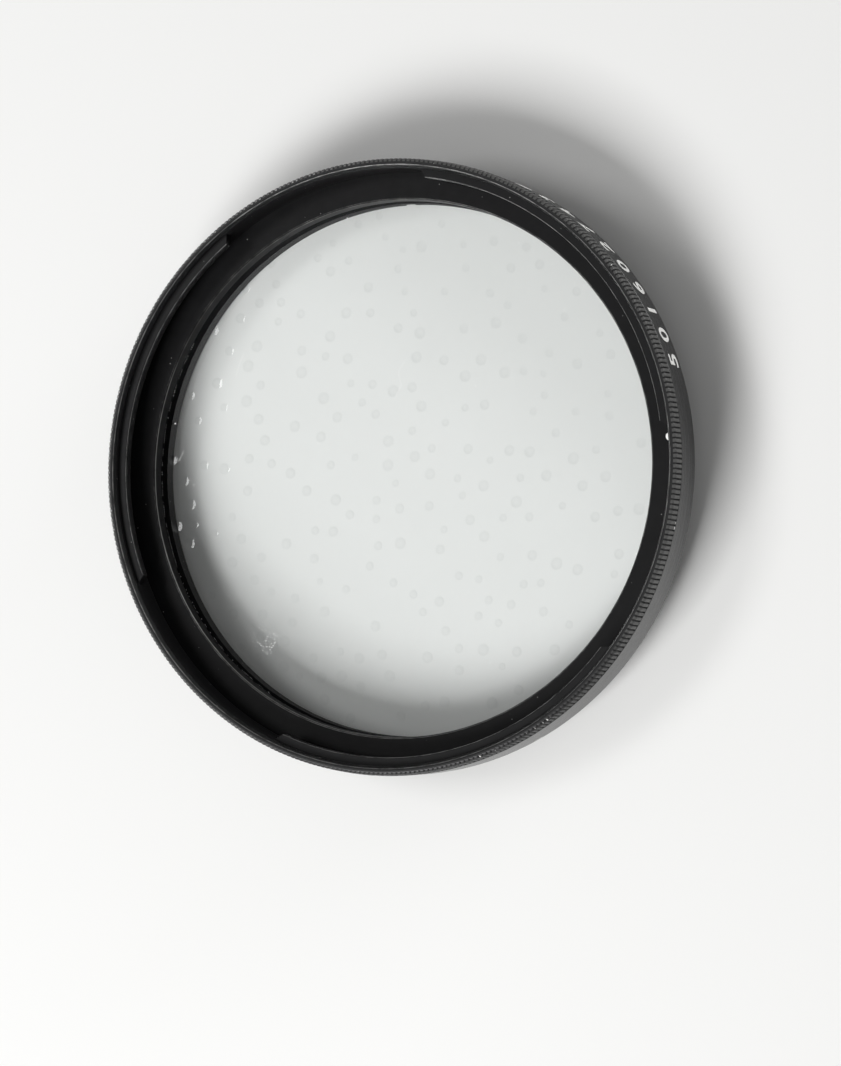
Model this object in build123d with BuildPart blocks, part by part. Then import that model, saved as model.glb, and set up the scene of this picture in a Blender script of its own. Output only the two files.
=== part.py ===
from build123d import *
import os
from math import cos, pi, radians, sin

# Bayonet: the rear spigot of one filter turns in the front socket of the next
spigot_diameter = 60.0
lug_count = 3
lug_reach = 0.9
bayonet_clearance = 0.25
socket_lug_angle = 74.0
socket_lug_centre = 44.4
socket_lug_end_slope = 1.3
socket_lug_recess = 0.9
socket_lug_thickness = 1.1
lug_entry_clearance = 2.0
lug_axial_play = 0.1
spigot_lug_thickness = 1.3
socket_floor_gap = 0.3
lug_edge = 0.12

# Rim: outside band, knurled grip with a chamfered front edge, and the front face with its lead-in
band_wall = 1.05
front_land = 0.32
lead_in_width = 0.25
lead_in_depth = 0.45
knurl_width = 1.5
knurl_pitch = 0.52
knurl_depth = 0.2
knurl_step = 0.03
knurl_taper = 0.11
knurl_edge_depth = 0.17
rim_edge = 0.15

# Optical disc, the flange that it seats on and the ring that holds it from behind
flange_thickness = 1.6
flange_edge = 0.2
seat_width = 0.85
spigot_wall = 0.85
disc_thickness = 2.2
disc_clearance = 0.1
disc_edge = 0.2
ring_height = 1.5
ring_recess = 0.25
thread_clearance = 0.1
thread_lead_in = 0.2
spanner_slot_width = 1.2
spanner_slot_depth = 0.7

# Index dot: enamel in a drilled dimple in the socket floor, beside the end of one lug
dot_diameter = 0.9
dot_depth = 0.4
dot_sink = 0.04
dot_clearance = 0.02
dot_from_wall = 0.9
dot_from_lug = 2.7

# Radii that follow from the sizes above
spigot_radius = spigot_diameter / 2
spigot_lug_radius = spigot_radius + lug_reach
socket_lug_radius = spigot_radius + bayonet_clearance
socket_radius = spigot_lug_radius + bayonet_clearance
band_radius = socket_radius + band_wall
knurl_front_radius = socket_radius + lead_in_width + front_land
knurl_back_radius = band_radius - knurl_step
knurl_nose_radius = knurl_back_radius - knurl_taper
seat_radius = spigot_radius - spigot_wall
disc_radius = seat_radius - disc_clearance
aperture_radius = disc_radius - seat_width
ring_radius = seat_radius - thread_clearance

# Heights above the end of the spigot, which the filter rests on
neck_length = socket_lug_recess + socket_lug_thickness + lug_axial_play
shoulder_height = neck_length + spigot_lug_thickness
disc_back = ring_recess + ring_height
disc_front = disc_back + disc_thickness
ledge_height = disc_front + flange_thickness
front_height = ledge_height + shoulder_height + socket_floor_gap
knurl_back = front_height - knurl_width
knurl_nose = front_height - knurl_edge_depth
socket_lug_front = front_height - socket_lug_recess
socket_lug_back = socket_lug_front - socket_lug_thickness

# Angles of the lugs: the spigot's lugs pass between the socket's
lug_spacing = 360 / lug_count
spigot_lug_angle = lug_spacing - socket_lug_angle - 2 * (socket_lug_end_slope + lug_entry_clearance)
dot_angle = socket_lug_centre - socket_lug_angle / 2 - dot_from_lug
dot_radius = socket_radius - dot_from_wall


def polar(radius, angle):
    """A point of a plan view, from its radius and its angle in degrees."""
    return (radius * cos(radians(angle)), radius * sin(radians(angle)))


def lug_outline(tip_radius, tip_angle, root_radius, root_angle):
    """The plan of one lug about the X axis, between the arcs of its tip and its root."""
    Line(polar(tip_radius, tip_angle / 2), polar(root_radius, root_angle / 2))
    ThreePointArc(polar(root_radius, root_angle / 2), (root_radius, 0), polar(root_radius, -root_angle / 2))
    Line(polar(root_radius, -root_angle / 2), polar(tip_radius, -tip_angle / 2))
    ThreePointArc(polar(tip_radius, -tip_angle / 2), (tip_radius, 0), polar(tip_radius, tip_angle / 2))


def knurl_outline(crest_radius):
    """A closed ring of V teeth, whose depth is in proportion to the radius."""
    root_radius = crest_radius * (1 - knurl_depth / knurl_back_radius)
    tooth_count = round(2 * pi * band_radius / knurl_pitch)
    pitch_angle = 360 / tooth_count
    points = []
    for tooth in range(tooth_count):
        points.append(polar(root_radius, tooth * pitch_angle))
        points.append(polar(crest_radius, (tooth + 0.5) * pitch_angle))
    Polyline(*points, close=True)


# One lug of the socket, rooted in the wall behind the lead-in, with its front edge broken
socket_lug_root = socket_radius + lead_in_width
end_slope_rate = socket_lug_end_slope / lug_reach
socket_root_angle = socket_lug_angle + 2 * end_slope_rate * (socket_lug_root - socket_lug_radius)
with BuildPart() as socket_lug:
    with BuildSketch(Plane.XY.offset(socket_lug_back)):
        with BuildLine():
            lug_outline(socket_lug_radius, socket_lug_angle, socket_lug_root, socket_root_angle)
        make_face()
    extrude(amount=socket_lug_thickness)
    front_arcs = socket_lug.faces().sort_by(Axis.Z)[-1].edges().filter_by(GeomType.CIRCLE)
    chamfer(front_arcs.sort_by(SortBy.RADIUS)[0], length=lug_edge)

# One lug of the spigot, rooted in its wall, with both rims of its outer face broken
spigot_lug_root = spigot_radius - spigot_wall / 2
with BuildPart() as spigot_lug:
    with BuildSketch(Plane.XY):
        with BuildLine():
            lug_outline(spigot_lug_radius, spigot_lug_angle, spigot_lug_root, spigot_lug_angle)
        make_face()
    extrude(amount=spigot_lug_thickness)
    outer_arcs = spigot_lug.edges().filter_by(GeomType.CIRCLE).group_by(SortBy.RADIUS)[-1]
    chamfer(outer_arcs, length=lug_edge)

# Knurled grip: between the front face and the band, around the mouth of the socket
with BuildPart() as knurled_grip:
    with BuildSketch(Plane.XY.offset(knurl_back)):
        with BuildLine():
            knurl_outline(knurl_back_radius)
        make_face()
    with BuildSketch(Plane.XY.offset(knurl_nose)):
        with BuildLine():
            knurl_outline(knurl_nose_radius)
        make_face()
    with BuildSketch(Plane.XY.offset(front_height)):
        with BuildLine():
            knurl_outline(knurl_front_radius)
        make_face()
    loft(ruled=True)
    with BuildSketch(Plane.XZ):
        with BuildLine():
            Polyline(
                (0, knurl_back),
                (socket_radius, knurl_back),
                (socket_radius, front_height - lead_in_depth),
                (socket_radius + lead_in_width, front_height),
                (0, front_height),
                close=True,
            )
        make_face()
    revolve(axis=Axis.Z, mode=Mode.SUBTRACT)

# Filter rim: one turned ring with a milled socket in front and a milled spigot behind
with BuildPart() as filter_rim:
    with BuildSketch(Plane.XZ):
        with BuildLine():
            Polyline(
                (seat_radius + thread_lead_in, 0),
                (spigot_radius, 0),
                (spigot_radius, shoulder_height),
                (band_radius - rim_edge, shoulder_height),
                (band_radius, shoulder_height + rim_edge),
                (band_radius, knurl_back),
                (socket_radius, knurl_back),
                (socket_radius, ledge_height),
                (aperture_radius + flange_edge, ledge_height),
                (aperture_radius, ledge_height - flange_edge),
                (aperture_radius, disc_front),
                (seat_radius, disc_front),
                (seat_radius, thread_lead_in),
                close=True,
            )
        make_face()
    revolve(axis=Axis.Z)
    with BuildSketch(Plane.XY.offset(ledge_height)):
        with Locations(polar(dot_radius, dot_angle)):
            Circle(dot_diameter / 2)
    extrude(amount=-dot_depth, mode=Mode.SUBTRACT)
    with PolarLocations(0, lug_count, start_angle=socket_lug_centre):
        add(spigot_lug.part)
        add(socket_lug.part)
    add(knurled_grip.part)
filter_rim.part.label = "filter_rim"

# Optical disc: clear, with its front edge broken to clear the corner of the seat
with BuildPart() as optical_disc:
    with BuildSketch(Plane.XY.offset(disc_back)):
        Circle(disc_radius)
    extrude(amount=disc_thickness)
    chamfer(optical_disc.edges().sort_by(Axis.Z)[-1], length=disc_edge)
optical_disc.part.label = "optical_disc"

# Retaining ring: screws in behind the disc, with two slots for a spanner
with BuildPart() as retaining_ring:
    with BuildSketch(Plane.XY.offset(ring_recess)):
        Circle(ring_radius)
        Circle(aperture_radius, mode=Mode.SUBTRACT)
    extrude(amount=ring_height)
    with BuildSketch(Plane.XY.offset(ring_recess)):
        Rectangle(spanner_slot_width, 2 * spigot_diameter)
    extrude(amount=spanner_slot_depth, mode=Mode.SUBTRACT)
retaining_ring.part.label = "retaining_ring"

# Index dot: the enamel that fills the dimple
with BuildPart() as index_dot:
    with BuildSketch(Plane.XY.offset(ledge_height - dot_depth)):
        with Locations(polar(dot_radius, dot_angle)):
            Circle(dot_diameter / 2 - dot_clearance)
    extrude(amount=dot_depth - dot_sink)
index_dot.part.label = "index_dot"

os.makedirs("parts", exist_ok=True)
export_step(filter_rim.part, "parts/filter_rim.step")
export_step(optical_disc.part, "parts/optical_disc.step")
export_step(retaining_ring.part, "parts/retaining_ring.step")
export_step(index_dot.part, "parts/index_dot.step")
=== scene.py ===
import math
import random

import bmesh
import bpy
from mathutils import Matrix, Vector
from mathutils.geometry import delaunay_2d_cdt


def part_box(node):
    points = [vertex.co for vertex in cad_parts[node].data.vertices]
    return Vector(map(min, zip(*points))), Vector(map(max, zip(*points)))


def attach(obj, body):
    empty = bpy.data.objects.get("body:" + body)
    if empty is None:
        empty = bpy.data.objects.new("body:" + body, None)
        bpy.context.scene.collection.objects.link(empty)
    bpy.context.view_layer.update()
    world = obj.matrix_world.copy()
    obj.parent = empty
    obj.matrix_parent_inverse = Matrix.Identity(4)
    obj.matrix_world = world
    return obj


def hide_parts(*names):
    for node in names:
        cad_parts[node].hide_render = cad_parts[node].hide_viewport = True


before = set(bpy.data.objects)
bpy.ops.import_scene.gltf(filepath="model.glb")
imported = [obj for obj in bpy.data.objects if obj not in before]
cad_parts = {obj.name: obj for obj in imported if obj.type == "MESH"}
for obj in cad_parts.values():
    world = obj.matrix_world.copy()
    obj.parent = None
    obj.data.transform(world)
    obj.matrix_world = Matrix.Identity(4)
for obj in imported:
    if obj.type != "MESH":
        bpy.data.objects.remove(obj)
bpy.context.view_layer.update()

MM = 0.001
TURN = 2 * math.pi


def box_mm(node):
    """The lowest and the highest corner of a CAD node, in millimetres."""
    low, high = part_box(node)
    return low / MM, high / MM


# Sizes in millimetres that the frame's nodes give
_, rim_high = box_mm("filter_rim")
disc_low, disc_high = box_mm("optical_disc")
ring_low, ring_high = box_mm("retaining_ring")
dot_low, dot_high = box_mm("index_dot")
band_radius = rim_high.x
front_height = rim_high.z
disc_radius = disc_high.x
disc_back = disc_low.z
disc_front = disc_high.z
ring_radius = ring_high.y
ring_back = ring_low.z
ring_front = ring_high.z
dot_centre = (dot_low + dot_high) / 2
dot_radius = (dot_high.x - dot_low.x) / 2

# Sizes of the bayonet, as in the part's source
lug_count = 3
lug_centre = math.radians(44.4)
lug_reach = 0.9
lug_edge = 0.12
bayonet_clearance = 0.25
band_wall = 1.05
socket_radius = band_radius - band_wall
socket_lug_radius = socket_radius - lug_reach
socket_lug_recess = 0.9
socket_lug_thickness = 1.1
socket_lug_front = front_height - socket_lug_recess
socket_lug_back = socket_lug_front - socket_lug_thickness
socket_lug_half_angle = math.radians(37.0)
socket_lug_end_slope = math.radians(1.3)
socket_lug_slope = socket_lug_end_slope / lug_reach
spigot_radius = socket_lug_radius - bayonet_clearance
spigot_lug_radius = spigot_radius + lug_reach
spigot_lug_height = 1.3
spigot_lug_half_angle = math.radians(19.7)

# Sizes of the rim's outside and mouth: the teeth and the nose are rounder than the solid's
shoulder_height = 3.4
rim_edge = 0.15
lead_in_width = 0.25
lead_in_depth = 0.45
knurl_width = 1.5
knurl_step = 0.03
knurl_pitch = 0.52
knurl_nose = 0.37
knurl_front_inset = 0.48
tooth_count = round(TURN * band_radius / knurl_pitch)
tooth_depth = 0.15

# Sizes of the ledge, the seat, the dimple and the spanner slots, as in the part's source
flange_thickness = 1.6
seat_width = 0.85
disc_clearance = 0.1
disc_edge = 0.2
dot_clearance = 0.02
ledge_height = disc_front + flange_thickness
ledge_edge = 0.2
aperture_radius = disc_radius - seat_width
seat_radius = disc_radius + disc_clearance
thread_lead_in = 0.2
dimple_radius = dot_radius + dot_clearance
dimple_floor = dot_low.z
slot_count = 2
slot_half_width = 0.6
slot_depth = 0.7

# Gaps that keep the faces of two pieces from lying in one plane
disc_gap = 0.01
ring_gap = 0.005

# Small edges and margins that the visual model alone has
land_edge = 0.07
lug_back_edge = 0.05
ledge_margin = 0.08
seat_edge = 0.05
ring_inner_edge = 0.08
ring_outer_edge = 0.12

# How finely the rings are stepped
plain_steps = 720
disc_steps = 480
dimple_steps = 32
lens_steps = 24
speck_steps = 7
spigot_lug_steps = 80
spigot_gap_steps = 160
socket_lug_steps = 154
socket_gap_steps = 86
ring_land_steps = 230
ring_slot_steps = 8


class Shell:
    """The points and faces of one piece, with how worn and how matte each point is; on the disc the second
    value is how deep its painted lens shade is.
    """

    def __init__(self):
        self.points = []
        self.wear = []
        self.matte = []
        self.faces = []
        self.looks = []

    def point(self, place, wear=0.0, matte=0.0):
        """Adds a point in millimetres and gives its number."""
        self.points.append(place)
        self.wear.append(wear)
        self.matte.append(matte)
        return len(self.points) - 1

    def ring(self, station, angles):
        """Adds a point at each angle, from a station of radius, height, wear and matte."""
        radius, height, wear, matte = station
        numbers = []
        for angle in angles:
            place = (radius * math.cos(angle), radius * math.sin(angle), height)
            numbers.append(self.point(place, wear, matte))
        return numbers

    def rub(self, ring, stretches):
        """Changes how worn a ring is along stretches, each with its middle, its half angle and its wear."""
        for number in ring:
            x, y, _ = self.points[number]
            for middle, half_angle, wear in stretches:
                share = stretch_share(math.atan2(y, x), middle, half_angle)
                self.wear[number] += share * (wear - self.wear[number])

    def face(self, corners, look=0):
        """Adds a face with the material of that number."""
        self.faces.append(tuple(corners))
        self.looks.append(look)

    def bridge(self, first, second, look=0):
        """Joins two rings that have the same steps."""
        for here in range(len(first)):
            there = (here + 1) % len(first)
            self.face((first[here], first[there], second[there], second[here]), look)

    def lathe(self, start, stations, angles):
        """Turns one ring after another from a starting ring, and gives the last one."""
        for station in stations:
            following = self.ring(station, angles)
            self.bridge(start, following)
            start = following
        return start

    def by_angle(self, ring):
        """The ring's points in the order of their angles, and those angles."""
        turned = []
        for number in ring:
            x, y, _ = self.points[number]
            turned.append((math.atan2(y, x) % TURN, number))
        turned.sort()
        return [number for _, number in turned], [angle for angle, _ in turned]

    def sew(self, first, second):
        """Joins two rings that have different steps, with triangles."""
        first, first_angles = self.by_angle(first)
        second, second_angles = self.by_angle(second)
        first_angles.append(first_angles[0] + TURN)
        second_angles.append(second_angles[0] + TURN)
        i = 0
        j = 0
        while i < len(first) or j < len(second):
            here = first[i % len(first)]
            there = second[j % len(second)]
            on_first = j == len(second) or (i < len(first) and first_angles[i + 1] <= second_angles[j + 1])
            if on_first:
                i += 1
                self.face((here, first[i % len(first)], there))
            else:
                j += 1
                self.face((here, second[j % len(second)], there))

    def lugged(self, first, second, lugs, section):
        """Joins two rings plainly between the lugs, and over the section of a lug at each lug."""
        for lug in range(lugs.count):
            start = lug * lugs.steps
            for here in range(start + lugs.lug_steps, start + lugs.steps):
                there = (here + 1) % len(first)
                self.face((first[here], first[there], second[there], second[here]))
            columns = [(start + step) % len(first) for step in range(lugs.lug_steps + 1)]
            rows = [[first[column] for column in columns]]
            rows += [self.ring(station, lugs.across(lug, station[0])) for station in section]
            rows.append([second[column] for column in columns])
            for upper, lower in zip(rows, rows[1:]):
                for here in range(lugs.lug_steps):
                    self.face((upper[here], upper[here + 1], lower[here + 1], lower[here]))
            self.face([row[0] for row in rows])
            self.face([row[-1] for row in rows])

    def fill(self, outline, holes, patches=()):
        """Fills the flat inside of an outline around its holes, with the second material on its patches."""
        loops = [outline, *holes, *patches]
        numbers = [number for loop in loops for number in loop]
        loop_of = {number: place for place, loop in enumerate(loops) for number in loop}
        flat = [Vector(self.points[number][:2]) for number in numbers]
        edges = []
        for loop in loops:
            start = len(edges)
            edges += [(start + step, start + (step + 1) % len(loop)) for step in range(len(loop))]
        output_type = 0
        epsilon = 1e-7
        _, _, triangles, sources, _, _ = delaunay_2d_cdt(flat, edges, [], output_type, epsilon)
        for triangle in triangles:
            corners = [numbers[sources[corner][0]] for corner in triangle]
            touched = {loop_of[corner] for corner in corners}
            inside = touched.pop() if len(touched) == 1 else 0
            if inside == 0 or inside > len(holes):
                self.face(corners, int(inside > len(holes)))

    def build(self, name, materials, sharp_angle):
        """Makes the object, smooth but for the edges that turn more than the angle in degrees."""
        mesh = bpy.data.meshes.new(name)
        mesh.from_pydata([Vector(place) * MM for place in self.points], [], self.faces)
        mesh.polygons.foreach_set("material_index", self.looks)
        for label, values in (("wear", self.wear), ("matte", self.matte)):
            mesh.attributes.new(label, "FLOAT", "POINT").data.foreach_set("value", values)
        whole = bmesh.new()
        whole.from_mesh(mesh)
        bmesh.ops.recalc_face_normals(whole, faces=whole.faces)
        whole.to_mesh(mesh)
        whole.free()
        mesh.shade_smooth()
        mesh.set_sharp_from_angle(angle=math.radians(sharp_angle))
        for material in materials:
            mesh.materials.append(material)
        piece = bpy.data.objects.new(name, mesh)
        bpy.context.scene.collection.objects.link(piece)
        return piece


def stretch_share(angle, middle, half_angle):
    """How far an angle in radians is within a stretch in degrees: 1 over most of it, 0 beyond its ends."""
    fading = 0.4 * half_angle
    aside = abs((math.degrees(angle) - middle + 180) % 360 - 180)
    return min(max((half_angle - aside) / fading, 0), 1)


class Lugs:
    """Lugs spaced evenly round a ring, whose half angle follows from the radius."""

    def __init__(self, count, centre, half_angle, lug_steps, gap_steps):
        self.count = count
        self.centre = centre
        self.half_angle = half_angle
        self.lug_steps = lug_steps
        self.steps = lug_steps + gap_steps

    def across(self, lug, radius):
        """The angles of the columns from one end of a lug to the other."""
        middle = self.centre + lug * TURN / self.count
        half = self.half_angle(radius)
        return [middle + half * (2 * step / self.lug_steps - 1) for step in range(self.lug_steps + 1)]

    def around(self, radius):
        """The angles of a whole ring: the columns of each lug, and even steps in each gap."""
        angles = []
        gap_steps = self.steps - self.lug_steps
        for lug in range(self.count):
            columns = self.across(lug, radius)
            gap = TURN / self.count - 2 * self.half_angle(radius)
            angles += columns
            angles += [columns[-1] + gap * step / gap_steps for step in range(1, gap_steps)]
        return angles


def even(steps):
    """Even angles round a whole turn."""
    return [TURN * step / steps for step in range(steps)]


def new_material(name):
    """A material with a principled shader, its node tree and the shader."""
    material = bpy.data.materials.new(name)
    material.use_nodes = True
    return material, material.node_tree, material.node_tree.nodes["Principled BSDF"]


def add(tree, kind, inputs=(), **settings):
    """Adds a node with its settings, and with links or values for its inputs."""
    node = tree.nodes.new(kind)
    for key, value in settings.items():
        setattr(node, key, value)
    for key, value in dict(inputs).items():
        if isinstance(value, bpy.types.NodeSocket):
            tree.links.new(value, node.inputs[key])
        else:
            node.inputs[key].default_value = value
    return node


def math_node(tree, operation, first, second):
    """The output of a math node."""
    return add(tree, "ShaderNodeMath", {0: first, 1: second}, operation=operation).outputs[0]


def remap(tree, value, low, high, to_low, to_high, smooth=False):
    """The output of a map range node."""
    style = "SMOOTHSTEP" if smooth else "LINEAR"
    inputs = {"Value": value, "From Min": low, "From Max": high, "To Min": to_low, "To Max": to_high}
    return add(tree, "ShaderNodeMapRange", inputs, interpolation_type=style).outputs["Result"]


def blend(tree, factor, first, second):
    """The output of a colour mix node, whose sockets 6 and 7 are the colours."""
    node = add(tree, "ShaderNodeMix", {"Factor": factor}, data_type="RGBA")
    for socket, value in ((node.inputs[6], first), (node.inputs[7], second)):
        if isinstance(value, bpy.types.NodeSocket):
            tree.links.new(value, socket)
        else:
            socket.default_value = (*value, 1.0)
    return node.outputs[2]


def place_mm(tree):
    """The object's own coordinates, in millimetres."""
    coordinates = add(tree, "ShaderNodeTexCoord").outputs["Object"]
    return add(tree, "ShaderNodeVectorMath", {0: coordinates, "Scale": 1 / MM}, operation="SCALE").outputs[0]


def noise(tree, place, scale, detail):
    """The value of a noise in space."""
    return add(tree, "ShaderNodeTexNoise", {"Vector": place, "Scale": scale, "Detail": detail}).outputs[0]


def round_axis(tree, place):
    """The distance from the axis, the angle round it and the height."""
    flat = add(tree, "ShaderNodeVectorMath", {0: place, 1: (1, 1, 0)}, operation="MULTIPLY").outputs[0]
    radius = add(tree, "ShaderNodeVectorMath", {0: flat}, operation="LENGTH").outputs["Value"]
    x, y, height = add(tree, "ShaderNodeSeparateXYZ", {0: place}).outputs
    return radius, math_node(tree, "ARCTAN2", y, x), height


def turning_marks(tree, place, scale):
    """A noise that runs round the axis, as the tool of a lathe leaves it."""
    radius, _, height = round_axis(tree, place)
    inputs = {"W": math_node(tree, "ADD", radius, height), "Scale": scale, "Detail": 3}
    return add(tree, "ShaderNodeTexNoise", inputs, noise_dimensions="1D").outputs[0]


def scuffs(tree, place, edge_radius, edge_height, middle, half_angle, climb):
    """Scrapes along a stretch of a round edge, which climb from its middle on and thin out away from it."""
    radius, angle, height = round_axis(tree, place)
    past_middle = math_node(tree, "SUBTRACT", angle, math.radians(middle))
    climbed = math_node(tree, "MULTIPLY", math_node(tree, "MAXIMUM", past_middle, 0), climb)
    outward = math_node(tree, "SUBTRACT", radius, edge_radius)
    upward = math_node(tree, "SUBTRACT", math_node(tree, "SUBTRACT", height, edge_height), climbed)
    offset = add(tree, "ShaderNodeCombineXYZ", {0: outward, 1: upward}).outputs[0]
    away = add(tree, "ShaderNodeVectorMath", {0: offset}, operation="LENGTH").outputs["Value"]
    aside = math_node(tree, "ABSOLUTE", past_middle, 0)
    away_thinner = remap(tree, away, 0.0, 0.5, -0.1, 0.4)
    fading_from = math.radians(0.8 * half_angle)
    aside_thinner = remap(tree, aside, fading_from, math.radians(half_angle), 0.0, 0.3)
    thinner = math_node(tree, "ADD", away_thinner, aside_thinner)
    stretched = 0.12 * edge_radius
    along = math_node(tree, "MULTIPLY", angle, stretched)
    streaks = add(tree, "ShaderNodeCombineXYZ", {0: along, 1: height}).outputs[0]
    scrapes = noise(tree, streaks, scale=5.0, detail=3)
    return remap(tree, math_node(tree, "SUBTRACT", scrapes, thinner), 0.48, 0.54, 0.0, 1.0)


def rubbed_tips(tree, place, worn, middle, half_angle):
    """Bare metal on the tips of the teeth at the front edge, along a stretch of the rim."""
    _, angle, height = round_axis(tree, place)
    aside = math_node(tree, "COSINE", math_node(tree, "SUBTRACT", angle, math.radians(middle)), 0)
    outer = math.cos(math.radians(half_angle))
    inner = math.cos(math.radians(0.6 * half_angle))
    within = remap(tree, aside, outer, inner, 0.0, 1.0, smooth=True)
    bare_from = front_height - 0.14
    bare_fully = front_height - 0.07
    in_front = remap(tree, height, bare_from, bare_fully, 0.0, 1.0)
    share = math_node(tree, "MULTIPLY", within, in_front)
    tip = math_node(tree, "MULTIPLY", remap(tree, worn, 0.9, 1.0, 0.0, 1.0), share)
    patchy = remap(tree, noise(tree, place, scale=1.8, detail=2), 0.42, 0.6, 0.25, 1.0)
    return math_node(tree, "MULTIPLY", tip, patchy)


def black_metal(name, gloss_roughness, matte_roughness, steady, bareness, nicks=(), scuffed=(), rubbed=()):
    """Black anodised metal with turning marks, rubbed towards bare metal at edges, nicks and scuffs."""
    material, tree, shader = new_material(name)
    place = place_mm(tree)
    marks = turning_marks(tree, place, scale=9.0)
    patches = noise(tree, place, scale=0.8, detail=3)
    grain = noise(tree, place, scale=11.0, detail=2)
    worn = add(tree, "ShaderNodeAttribute", attribute_name="wear").outputs["Fac"]
    matte = add(tree, "ShaderNodeAttribute", attribute_name="matte").outputs["Fac"]
    uneven = (1 - steady) / 3
    large = remap(tree, patches, 0.3, 0.7, steady, 1.0)
    small = remap(tree, grain, 0.3, 0.7, -uneven, uneven)
    breakup = math_node(tree, "ADD", large, small)
    bare = remap(tree, math_node(tree, "MULTIPLY", worn, breakup), 0.4, 0.9, 0.0, bareness, smooth=True)
    for angle, radius, height, size in nicks:
        spot = (radius * math.cos(math.radians(angle)), radius * math.sin(math.radians(angle)), height)
        away = add(tree, "ShaderNodeVectorMath", {0: place, 1: spot}, operation="DISTANCE").outputs["Value"]
        ragged = math_node(tree, "ADD", away, remap(tree, grain, 0.3, 0.7, -0.3 * size, 0.3 * size))
        chip = remap(tree, ragged, 0.7 * size, size, 1.0, 0.0, smooth=True)
        chip = math_node(tree, "MULTIPLY", chip, remap(tree, worn, 0.1, 0.5, 0.0, 1.0))
        bare = math_node(tree, "MAXIMUM", bare, chip)
    for stretch in scuffed:
        bare = math_node(tree, "MAXIMUM", bare, scuffs(tree, place, *stretch))
    for stretch in rubbed:
        bare = math_node(tree, "MAXIMUM", bare, rubbed_tips(tree, place, worn, *stretch))
    black = blend(tree, patches, (0.004, 0.004, 0.0043), (0.009, 0.009, 0.0095))
    speck = add(tree, "ShaderNodeTexVoronoi", {"Vector": place, "Scale": 0.8}).outputs["Distance"]
    dusty_black = blend(tree, remap(tree, speck, 0.03, 0.05, 1.0, 0.0), black, (0.3, 0.3, 0.29))
    metal = blend(tree, remap(tree, bare, 0.75, 1.0, 0.0, 1.0), (0.42, 0.42, 0.41), (0.88, 0.88, 0.87))
    colour = blend(tree, bare, dusty_black, metal)
    rough = remap(tree, matte, 0.0, 1.0, gloss_roughness, matte_roughness)
    rough = math_node(tree, "ADD", rough, remap(tree, marks, 0.3, 0.7, -0.05, 0.05))
    relief = add(tree, "ShaderNodeBump", {"Height": marks, "Strength": 0.25, "Distance": 0.004 * MM})
    tree.links.new(colour, shader.inputs["Base Color"])
    tree.links.new(bare, shader.inputs["Metallic"])
    tree.links.new(rough, shader.inputs["Roughness"])
    tree.links.new(remap(tree, matte, 0.0, 1.0, 0.85, 0.12), shader.inputs["Specular IOR Level"])
    tree.links.new(relief.outputs[0], shader.inputs["Normal"])
    return material


def clear_glass(name):
    """Polished glass that lets the lamps' light through to the floor, its colour a little deeper in the
    lenslets as painted shade.
    """
    material, tree, shader = new_material(name)
    place = place_mm(tree)
    haze = noise(tree, place, scale=0.12, detail=4)
    shader.inputs["Transmission Weight"].default_value = 1.0
    shader.inputs["IOR"].default_value = 1.5
    tree.links.new(remap(tree, haze, 0.45, 0.75, 0.0, 0.03), shader.inputs["Roughness"])
    lens = add(tree, "ShaderNodeAttribute", attribute_name="matte").outputs["Fac"]
    pale = blend(tree, haze, (0.985, 0.99, 0.988), (0.965, 0.975, 0.97))
    # Painted shade: the lenslets are tinted darker than the clear glass, standing in for the shade their
    # refraction gives
    tree.links.new(blend(tree, lens, pale, (0.88, 0.89, 0.885)), shader.inputs["Base Color"])
    passing = add(tree, "ShaderNodeBsdfTransparent", {"Color": (0.93, 0.94, 0.937, 1.0)})
    path = add(tree, "ShaderNodeLightPath")
    lamp_or_bounce = math_node(tree, "MAXIMUM", path.outputs["Is Shadow Ray"], path.outputs["Is Diffuse Ray"])
    mixed = add(tree, "ShaderNodeMixShader", {0: lamp_or_bounce, 1: shader.outputs[0], 2: passing.outputs[0]})
    tree.links.new(mixed.outputs[0], tree.nodes["Material Output"].inputs["Surface"])
    return material


def dusty(name, dark, pale):
    """Dull dust and lint."""
    material, tree, shader = new_material(name)
    grain = noise(tree, place_mm(tree), scale=9.0, detail=2)
    shader.inputs["Roughness"].default_value = 0.9
    tree.links.new(blend(tree, grain, dark, pale), shader.inputs["Base Color"])
    return material


def white_paint(name):
    """White enamel, a little uneven."""
    material, tree, shader = new_material(name)
    place = place_mm(tree)
    grain = noise(tree, place, scale=3.0, detail=3)
    tree.links.new(blend(tree, grain, (0.84, 0.84, 0.82), (0.92, 0.92, 0.9)), shader.inputs["Base Color"])
    tree.links.new(remap(tree, grain, 0.3, 0.7, 0.3, 0.45), shader.inputs["Roughness"])
    relief = add(tree, "ShaderNodeBump", {"Height": grain, "Strength": 0.2, "Distance": 0.01 * MM})
    tree.links.new(relief.outputs[0], shader.inputs["Normal"])
    return material


# A scuff has the radius and the height of its edge, its middle, its half angle and its climb
band_scuffs = ((band_radius, shoulder_height + rim_edge, -68.5, 9.5, 1.5),)
# A nick has its angle, its radius, its height and its size
knurl_nicks = (
    (-12.5, 32.17, 7.8, 0.17),
    (-11.6, 32.17, 7.8, 0.12),
    (-54.6, 31.95, 9.13, 0.12),
    (-55.3, 31.95, 9.13, 0.13),
    (-56.3, 31.95, 9.13, 0.11),
    (-58.2, 31.95, 9.13, 0.12),
    (-60.1, 31.95, 9.13, 0.1),
    (-66.7, 31.95, 9.13, 0.12),
    (-70.1, 31.95, 9.13, 0.13),
    (38.0, 32.05, 9.0, 0.15),
)
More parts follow.
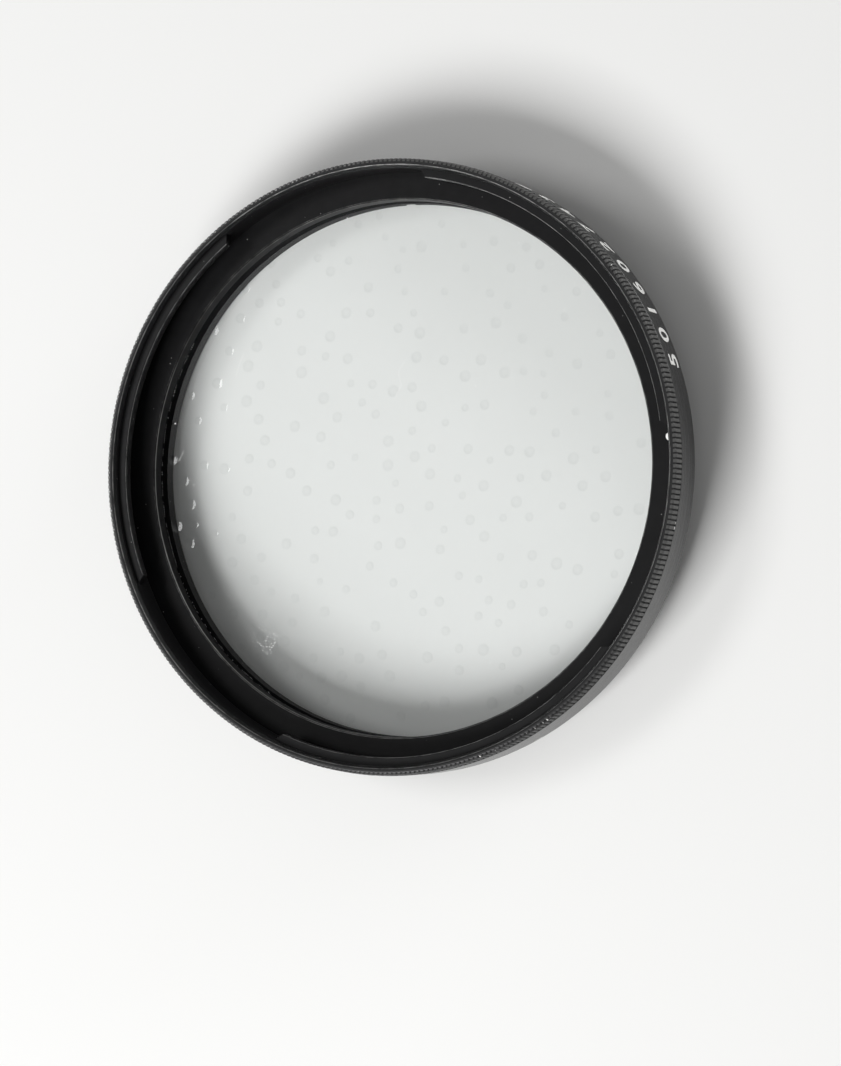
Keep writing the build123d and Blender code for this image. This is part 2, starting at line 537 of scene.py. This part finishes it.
# A stretch of bare tips has its middle and its half angle
bare_tips = ((150.0, 68.0),)
rim_black = black_metal(
    "rim_black", gloss_roughness=0.26, matte_roughness=0.5, steady=0.6, bareness=0.45, scuffed=band_scuffs
)
knurl_black = black_metal(
    "knurl_black",
    gloss_roughness=0.36,
    matte_roughness=0.5,
    steady=0.85,
    bareness=0.2,
    nicks=knurl_nicks,
    rubbed=bare_tips,
)
ring_black = black_metal("ring_black", gloss_roughness=0.45, matte_roughness=0.55, steady=0.6, bareness=0.7)
glass = clear_glass("clear_glass")
dust = dusty("dust", (0.8, 0.8, 0.79), (0.95, 0.95, 0.94))
enamel = white_paint("white_enamel")
mark_paint = white_paint("mark_paint")

# Rim: the outside from the spigot's end to the knurl
rim = Shell()
spigot_lugs = Lugs(
    lug_count,
    lug_centre,
    lambda radius: spigot_lug_half_angle,
    spigot_lug_steps,
    spigot_gap_steps,
)
spigot_angles = spigot_lugs.around(spigot_radius)
thread_mouth = rim.ring((seat_radius + thread_lead_in, 0, 0, 1), spigot_angles)
spigot_end = rim.lathe(thread_mouth, [(spigot_radius, 0, 0, 0.6)], spigot_angles)
lug_top = rim.ring((spigot_radius, spigot_lug_height, 0, 0.6), spigot_angles)
spigot_section = [
    (spigot_lug_radius - lug_edge, 0, 0, 0.4),
    (spigot_lug_radius - lug_edge / 2, lug_edge / 4, 0.9, 0.4),
    (spigot_lug_radius, lug_edge, 0, 0.4),
    (spigot_lug_radius, spigot_lug_height - lug_edge, 0, 0.4),
    (spigot_lug_radius - lug_edge / 4, spigot_lug_height - lug_edge / 2, 0.9, 0.4),
    (spigot_lug_radius - lug_edge, spigot_lug_height, 0, 0.4),
]
rim.lugged(spigot_end, lug_top, spigot_lugs, spigot_section)
shoulder_inner = rim.lathe(lug_top, [(spigot_radius, shoulder_height, 0, 0.6)], spigot_angles)
shoulder_outer = rim.ring((band_radius - rim_edge, shoulder_height, 0, 0.3), even(plain_steps))
rim.sew(shoulder_inner, shoulder_outer)
band_stations = [
    (band_radius - rim_edge / 2, shoulder_height + rim_edge / 4, 0.85, 0),
    (band_radius - rim_edge / 4, shoulder_height + rim_edge / 2, 0.85, 0),
    (band_radius, shoulder_height + rim_edge, 0, 0),
    (band_radius, front_height - knurl_width - knurl_step, 0, 0),
]
band_top = rim.lathe(shoulder_outer, band_stations, even(plain_steps))

# Rim: the knurl, from its run-out into the band, over its rounded front edge, to the front face
# A tooth has places across its pitch, each with how far it is sunk and how worn it is
tooth_places = (
    (0, 1, 0),
    (0.08, 0.75, 0),
    (0.15, 0.28, 0.6),
    (0.27, 0.06, 0.95),
    (0.5, 0, 1),
    (0.73, 0.06, 0.95),
    (0.85, 0.28, 0.6),
    (0.92, 0.75, 0),
)
# A row is so far below the front and inside the band, and has a share of the teeth's depth
knurl_rows = [
    (knurl_width, knurl_step, 0),
    (1.44, 0.034, 0.45),
    (1.37, 0.039, 0.85),
    (1.28, 0.046, 1),
    (0.8, 0.08, 1),
]
nose_rows = ((90, 1), (72, 0.9), (54, 0.75), (36, 0.6), (18, 0.45), (6, 0.38), (0, 0.35))
for turn, share in nose_rows:
    over = math.radians(turn)
    below_band = knurl_front_inset - knurl_nose * math.sin(over)
    knurl_rows.append((knurl_nose * (1 - math.cos(over)), below_band, share))
knurl_matte = 0.65
# Painted shade: round the bottom the teeth are made less worn, so darker, to offset the key lamp that lights
# that side more
painted_shade_middle = -75
painted_shade_half_angle = 50
painted_shade_share = 0.45
knurl = None
for below_front, below_band, share in knurl_rows:
    row = []
    for tooth in range(tooth_count):
        for across, sunk, worn in tooth_places:
            angle = TURN * (tooth + across) / tooth_count
            radius = band_radius - below_band - tooth_depth * sunk * share
            place = (radius * math.cos(angle), radius * math.sin(angle), front_height - below_front)
            knurl_painted_shade = painted_shade_share * stretch_share(angle, painted_shade_middle, painted_shade_half_angle)
            row.append(rim.point(place, worn * (1 - knurl_painted_shade) if below_front else 0, knurl_matte))
    if knurl:
        rim.bridge(knurl, row, look=1)
    else:
        rim.sew(band_top, row)
    knurl = row

# Rim: the front face, the lead-in and the socket with its lugs
socket_lugs = Lugs(
    lug_count,
    lug_centre,
    lambda radius: socket_lug_half_angle + socket_lug_slope * (radius - socket_lug_radius),
    socket_lug_steps,
    socket_gap_steps,
)
socket_angles = socket_lugs.around(socket_radius)
mouth_radius = socket_radius + lead_in_width
land = rim.ring((mouth_radius + land_edge, front_height, 0, 1), socket_angles)
rim.sew(knurl, land)
mouth_stations = [
    (mouth_radius + 0.045, front_height - 0.006, 0.85, 0.7),
    (mouth_radius + 0.005, front_height - 0.03, 0.85, 0.7),
    (mouth_radius - 0.03, front_height - 0.075, 0.85, 0.7),
    (mouth_radius - 0.05, front_height - 0.11, 0, 0.95),
    (socket_radius + 0.01, front_height - lead_in_depth + 0.01, 0, 0.95),
    (socket_radius, front_height - lead_in_depth - 0.02, 0.3, 0.95),
    (socket_radius, front_height - lead_in_depth - 0.04, 0, 0.95),
    (socket_radius, socket_lug_front, 0, 0.95),
]
lug_front_ring = rim.lathe(land, mouth_stations, socket_angles)
lug_back_ring = rim.ring((socket_radius, socket_lug_back, 0, 1), socket_angles)
socket_section = [
    (socket_lug_radius + lug_edge, socket_lug_front, 0, 0.95),
    (socket_lug_radius + lug_edge / 2, socket_lug_front - lug_edge / 4, 0.9, 0.7),
    (socket_lug_radius + lug_edge / 4, socket_lug_front - lug_edge / 2, 0.9, 0.7),
    (socket_lug_radius, socket_lug_front - lug_edge, 0, 0.8),
    (socket_lug_radius, socket_lug_back + lug_back_edge, 0, 0.8),
    (socket_lug_radius + lug_back_edge, socket_lug_back, 0, 1),
]
rim.lugged(lug_front_ring, lug_back_ring, socket_lugs, socket_section)
ledge_outer = rim.lathe(lug_back_ring, [(socket_radius, ledge_height, 0, 1)], socket_angles)

# Rim: the ledge with the dimple of the index dot, the aperture and the seat of the disc
ledge_inner = rim.ring((aperture_radius + ledge_edge + ledge_margin, ledge_height, 0, 1), socket_angles)
dimple_mouth = []
dimple_bottom = []
for angle in even(dimple_steps):
    x = dot_centre.x + dimple_radius * math.cos(angle)
    y = dot_centre.y + dimple_radius * math.sin(angle)
    dimple_mouth.append(rim.point((x, y, ledge_height), 0, 1))
    dimple_bottom.append(rim.point((x, y, dimple_floor), 0, 1))
rim.bridge(dimple_mouth, dimple_bottom)
rim.face(dimple_bottom)
rim.fill(ledge_outer, [ledge_inner, dimple_mouth])
upper_edge = rim.lathe(ledge_inner, [(aperture_radius + ledge_edge, ledge_height, 0, 1)], socket_angles)
upper_edge_rubs = ((150, 75, 0.6), (265, 35, 0.95))
for share, depth in ((0.85, 0.04), (0.6, 0.3)):
    station = (aperture_radius + ledge_edge * share, ledge_height - ledge_edge * depth, 0.75, 0.9)
    upper_edge = rim.lathe(upper_edge, [station], socket_angles)
    rim.rub(upper_edge, upper_edge_rubs)
bevel_stations = [
    (aperture_radius + ledge_edge * 0.45, ledge_height - ledge_edge * 0.45, 0, 1),
    (aperture_radius + ledge_edge * 0.35, ledge_height - ledge_edge * 0.6, 0, 1),
]
lower_edge = rim.lathe(upper_edge, bevel_stations, socket_angles)
lower_edge_rubs = ((205, 50, 1.3), (265, 35, 1.1))
for share, depth in ((0.22, 0.72), (0.02, 1.15)):
    station = (aperture_radius + ledge_edge * share, ledge_height - ledge_edge * depth, 0.7, 0.7)
    lower_edge = rim.lathe(lower_edge, [station], socket_angles)
    rim.rub(lower_edge, lower_edge_rubs)
seat_stations = [
    (aperture_radius, ledge_height - ledge_edge * 1.4, 0, 1),
    (aperture_radius, disc_front + seat_edge, 0, 1),
    (aperture_radius + seat_edge, disc_front, 0, 1),
    (seat_radius, disc_front, 0, 1),
    (seat_radius, thread_lead_in, 0, 1),
]
seat_end = rim.lathe(lower_edge, seat_stations, socket_angles)
rim.sew(seat_end, thread_mouth)
rim_piece = rim.build("rim", [rim_black, knurl_black], sharp_angle=24)

# Optical disc: hollow lenslets strewn over its front, with dust, lint and a smudge
dice = random.Random(27)
disc_top = disc_front - disc_gap
lens_tries = 20000
lens_count = 215
lens_smallest = 0.42
lens_largest = 0.72
lens_spacing = 0.9
lens_field = aperture_radius - 1.2
lens_slope = math.radians(1.35)
lenses = []
for _ in range(lens_tries):
    if len(lenses) == lens_count:
        break
    angle = dice.uniform(0, TURN)
    reach = lens_field * math.sqrt(dice.random())
    radius = dice.uniform(lens_smallest, lens_largest)
    x = reach * math.cos(angle)
    y = reach * math.sin(angle)
    if all(math.hypot(x - lens[0], y - lens[1]) > radius + lens[2] + lens_spacing for lens in lenses):
        lenses.append((x, y, radius))


def clear_of_lenses(x, y, margin):
    """Whether a place is outside every lenslet by a margin."""
    return all(math.hypot(x - lens[0], y - lens[1]) > lens[2] + margin for lens in lenses)


def clear_of_specks(x, y, margin):
    """Whether a place is outside every speck by a margin."""
    return all(math.hypot(x - speck[0], y - speck[1]) > margin + speck[2] for speck in specks)


specks = []
speck_tries = 2000
speck_count = 150
speck_smallest = 0.04
speck_largest = 0.1
speck_spacing = 0.05
speck_field = aperture_radius - 0.4
smudge = (-15.8, -18.0)
smudge_specks = 36
smudge_reach = 1.6
for _ in range(speck_tries):
    if len(specks) == speck_count:
        break
    in_smudge = len(specks) < smudge_specks
    angle = dice.uniform(0, TURN)
    reach = smudge_reach * dice.random() if in_smudge else speck_field * math.sqrt(dice.random())
    x = reach * math.cos(angle) + in_smudge * smudge[0]
    y = reach * math.sin(angle) + in_smudge * smudge[1]
    radius = dice.uniform(speck_smallest, speck_largest)
    margin = radius + speck_spacing
    if clear_of_specks(x, y, margin) and clear_of_lenses(x, y, margin):
        specks.append((x, y, radius))

# Dust along the foot of the aperture's wall, at one side
seam_angle = 150.0
seam_end = 238
seam_spacing = 0.03
while seam_angle < seam_end:
    radius = dice.uniform(0.03, 0.06)
    reach = aperture_radius - radius - dice.uniform(0.01, 0.05)
    x = reach * math.cos(math.radians(seam_angle))
    y = reach * math.sin(math.radians(seam_angle))
    if clear_of_specks(x, y, radius + seam_spacing):
        specks.append((x, y, radius))
    seam_angle += dice.choice((0.35, 0.5, 0.8, 1.6))

disc = Shell()
disc_angles = even(disc_steps)
disc_edge_top = disc.ring((disc_radius - disc_edge, disc_top, 0, 0), disc_angles)
disc_side = [(disc_radius, disc_top - disc_edge, 0, 0), (disc_radius, disc_back, 0, 0)]
disc.face(disc.lathe(disc_edge_top, disc_side, disc_angles))
# A lenslet's rows have a share of its radius and how deep its painted shade is
lens_rows = ((1, 0), (0.8, 1), (0.55, 0.8), (0.28, 0.6))
lens_loops = []
for x, y, radius in lenses:
    ball = radius / math.sin(lens_slope)
    lowest = disc_top - ball * (1 - math.cos(lens_slope))
    previous = None
    for share, depth in lens_rows:
        reach = radius * share
        height = lowest + ball - math.sqrt(ball * ball - reach * reach)
        row = []
        for angle in even(lens_steps):
            place = (x + reach * math.cos(angle), y + reach * math.sin(angle), height)
            row.append(disc.point(place, matte=depth))
        if previous:
            disc.bridge(previous, row)
        else:
            lens_loops.append(row)
        previous = row
    tip = disc.point((x, y, lowest), matte=0.5)
    for here in range(lens_steps):
        disc.face((previous[here], previous[(here + 1) % lens_steps], tip))
speck_loops = []
for x, y, radius in specks:
    speck_loops.append([])
    lean = dice.uniform(0, TURN)
    for angle in even(speck_steps):
        reach = radius * dice.uniform(0.7, 1.0)
        place = (x + reach * math.cos(angle + lean), y + reach * math.sin(angle + lean), disc_top)
        speck_loops[-1].append(disc.point(place))
disc.fill(disc_edge_top, lens_loops, speck_loops)
# Lint has a width and the points of its path
lint_low = disc_top + 0.001
lint_high = disc_top + 0.009
lint_paths = (
    (0.05, ((-19.3, 10.5), (-18.9, 11.6), (-18.3, 13.0))),
    (0.05, ((0.4, 11.4), (-0.4, 10.2), (0.0, 8.8), (-0.7, 7.6))),
    (0.035, ((-26.15, 1.4), (-25.8, 1.95), (-25.45, 2.6))),
)
for width, path in lint_paths:
    previous = None
    for here, place in enumerate(path):
        along = Vector(path[min(here + 1, len(path) - 1)]) - Vector(path[max(here - 1, 0)])
        across = Vector((-along.y, along.x)).normalized() * width / 2
        left = Vector(place) + across
        right = Vector(place) - across
        corners = ((left, lint_low), (right, lint_low), (right, lint_high), (left, lint_high))
        section = [disc.point((*side, height)) for side, height in corners]
        if previous:
            disc.bridge(previous, section, look=1)
        else:
            disc.face(section, look=1)
        previous = section
    disc.face(previous, look=1)
disc_piece = disc.build("clear_disc", [glass, dust], sharp_angle=0.9)

# Retaining ring, with its two spanner slots between two long lands
ring = Shell()
slot_floor = ring_back + slot_depth
ring_lands = Lugs(
    slot_count,
    0,
    lambda radius: TURN / 4 - math.asin(slot_half_width / radius),
    ring_land_steps,
    ring_slot_steps,
)
inner_wall = ring.ring((aperture_radius, slot_floor, 0, 1), ring_lands.around(aperture_radius))
outer_wall = ring.ring((ring_radius, slot_floor, 0, 1), ring_lands.around(ring_radius))
land_section = [
    (aperture_radius, ring_back + ring_inner_edge, 0, 1),
    (aperture_radius + 0.03, ring_back + 0.03, 0.8, 0.5),
    (aperture_radius + ring_inner_edge, ring_back, 0, 0.7),
    (ring_radius - ring_outer_edge, ring_back, 0, 0.7),
    (ring_radius - 0.04, ring_back + 0.04, 0.8, 0.5),
    (ring_radius, ring_back + ring_outer_edge, 0, 1),
]
ring.lugged(inner_wall, outer_wall, ring_lands, land_section)
ring_stations = [(ring_radius, ring_front - ring_gap, 0, 1), (aperture_radius, ring_front - ring_gap, 0, 1)]
ring_top = ring.lathe(outer_wall, ring_stations, ring_lands.around(ring_radius))
ring.bridge(ring_top, inner_wall)
ring_piece = ring.build("thread_ring", [ring_black], sharp_angle=24)

# Index dot: enamel that stands a little full in its dimple
dot = Shell()
dot_profile = ((1, dot_low.z), (1, dot_high.z - 0.02), (0.85, dot_high.z + 0.01), (0.5, dot_high.z + 0.03))
rows = []
for share, height in dot_profile:
    rows.append([])
    for angle in even(dimple_steps):
        x = dot_centre.x + share * dot_radius * math.cos(angle)
        y = dot_centre.y + share * dot_radius * math.sin(angle)
        rows[-1].append(dot.point((x, y, height)))
dot.face(rows[0])
for lower, upper in zip(rows, rows[1:]):
    dot.bridge(lower, upper)
dot.face(rows[-1])
dot_piece = dot.build("enamel_dot", [enamel], sharp_angle=40)

# Size mark: plain numbers wrapped onto the band
letters = bpy.data.curves.new("size_mark", "FONT")
letters.body = "5 0 1 6 0 2 7 4 3 8"
letters.size = 3.4
letters.space_character = 1.05
letters.extrude = 0.02
letters.offset = 0.06
letters.resolution_u = 6
letters_object = bpy.data.objects.new("size_letters", letters)
mark_mesh = bpy.data.meshes.new_from_object(letters_object)
bpy.data.objects.remove(letters_object)
mark_start = math.radians(17.0)
mark_foot = shoulder_height + 0.85
mark_radius = band_radius - 0.005
mark_weld = 0.0005
for corner in mark_mesh.vertices:
    angle = mark_start + corner.co.x / band_radius
    radius = mark_radius + corner.co.z
    corner.co = Vector((radius * math.cos(angle), radius * math.sin(angle), mark_foot + corner.co.y)) * MM
joined = bmesh.new()
joined.from_mesh(mark_mesh)
bmesh.ops.remove_doubles(joined, verts=joined.verts, dist=mark_weld * MM)
bmesh.ops.recalc_face_normals(joined, faces=joined.faces)
joined.to_mesh(mark_mesh)
joined.free()
mark_mesh.materials.clear()
mark_mesh.materials.append(mark_paint)
mark_piece = bpy.data.objects.new("size_mark", mark_mesh)
bpy.context.scene.collection.objects.link(mark_piece)

# Frame: the body that each piece rides, the node that it replaces and its slot
for piece, node, slot in (
    (rim_piece, "filter_rim", "rim_black"),
    (disc_piece, "optical_disc", "clear_disc"),
    (ring_piece, "retaining_ring", "ring_black"),
    (dot_piece, "index_dot", "white_enamel"),
):
    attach(piece, "root")
    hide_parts(node)
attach(mark_piece, "root")

# Floor: plain and pale, and an even tone far from the object
floor_mesh = bpy.data.meshes.new("floor")
floor_reach = 3
floor_corners = [(x * floor_reach, y * floor_reach, 0) for x, y in ((-1, -1), (1, -1), (1, 1), (-1, 1))]
floor_mesh.from_pydata(floor_corners, [], [(0, 1, 2, 3)])
floor_paint, floor_tree, floor_shader = new_material("floor")
floor_shader.inputs["Base Color"].default_value = (0.8, 0.8, 0.79, 1.0)
floor_shader.inputs["Roughness"].default_value = 0.7
floor_place = add(floor_tree, "ShaderNodeTexCoord").outputs["Object"]
from_middle = add(floor_tree, "ShaderNodeVectorMath", {0: floor_place}, operation="LENGTH").outputs["Value"]
floor_path = add(floor_tree, "ShaderNodeLightPath")
seen = floor_path.outputs["Is Camera Ray"]
for kind in ("Is Glossy Ray", "Is Transmission Ray"):
    seen = math_node(floor_tree, "MAXIMUM", seen, floor_path.outputs[kind])
outlying = remap(floor_tree, from_middle, 0.2, 0.7, 0.0, 1.0, smooth=True)
far = math_node(floor_tree, "MULTIPLY", outlying, seen)
pale = add(floor_tree, "ShaderNodeEmission", {"Color": (0.85, 0.85, 0.845, 1.0), "Strength": 1.0})
floor_mix = add(floor_tree, "ShaderNodeMixShader", {0: far, 1: floor_shader.outputs[0], 2: pale.outputs[0]})
floor_tree.links.new(floor_mix.outputs[0], floor_tree.nodes["Material Output"].inputs["Surface"])
floor_mesh.materials.append(floor_paint)
floor = bpy.data.objects.new("floor", floor_mesh)
bpy.context.scene.collection.objects.link(floor)

# World: bright towards the horizon and dim overhead, with a soft band of light over the disc
world = bpy.data.worlds.new("studio")
world.use_nodes = True
bpy.context.scene.world = world
sky = world.node_tree
direction = add(sky, "ShaderNodeTexCoord").outputs["Generated"]
upward = add(sky, "ShaderNodeSeparateXYZ", {0: direction}).outputs["Z"]
level = remap(sky, upward, 0.0, 0.15, 0.8, 0.2, smooth=True)
band_normal = (0.6, 0.75, 0.2)
band_offset = -0.0014
across_band = add(sky, "ShaderNodeVectorMath", {0: direction, 1: band_normal}, operation="DOT_PRODUCT")
from_band = math_node(sky, "SUBTRACT", across_band.outputs["Value"], band_offset)
from_band = math_node(sky, "ABSOLUTE", from_band, 0)
band = remap(sky, from_band, 0.015, 0.06, 0.7, 0.0, smooth=True)
overhead = remap(sky, upward, 0.75, 0.85, 0.0, 1.0, smooth=True)
level = math_node(sky, "ADD", level, math_node(sky, "MULTIPLY", band, overhead))
sky.links.new(level, sky.nodes["Background"].inputs["Strength"])
sky.nodes["Background"].inputs["Color"].default_value = (1.0, 1.0, 1.0, 1.0)


def softbox(name, place, width, height, watts):
    """A soft rectangular lamp that faces the object."""
    lamp = bpy.data.lights.new(name, "AREA")
    lamp.shape = "RECTANGLE"
    lamp.size = width
    lamp.size_y = height
    lamp.energy = watts
    holder = bpy.data.objects.new(name, lamp)
    holder.location = place
    holder.rotation_euler = Vector(place).to_track_quat("Z", "Y").to_euler()
    bpy.context.scene.collection.objects.link(holder)


softbox("key", (-0.39, -0.7, 0.75), width=0.55, height=0.45, watts=13.0)
softbox("side", (-0.364, 0.06, 0.492), width=0.22, height=0.16, watts=0.8)
softbox("low", (0.75, 0.65, 0.1), width=0.5, height=0.16, watts=4.0)

# Camera, at the photo's place as a camera fitted to the rim's circles gave it
camera_data = bpy.data.cameras.new("camera")
camera_data.lens = 113.83
camera_data.sensor_width = 36.0
camera = bpy.data.objects.new("camera", camera_data)
right = Vector((0.92458, 0.0, -0.381))
up = Vector((0.01607, 0.99911, 0.039))
back = Vector((0.38066, -0.04218, 0.92375))
camera_place = (0.1368, -0.02175, 0.33065)
turned = Matrix((right, up, back)).transposed()
camera.matrix_world = Matrix.Translation(camera_place) @ turned.to_4x4()
bpy.context.scene.collection.objects.link(camera)
bpy.context.scene.camera = camera
bpy.context.scene.view_settings.view_transform = "Standard"
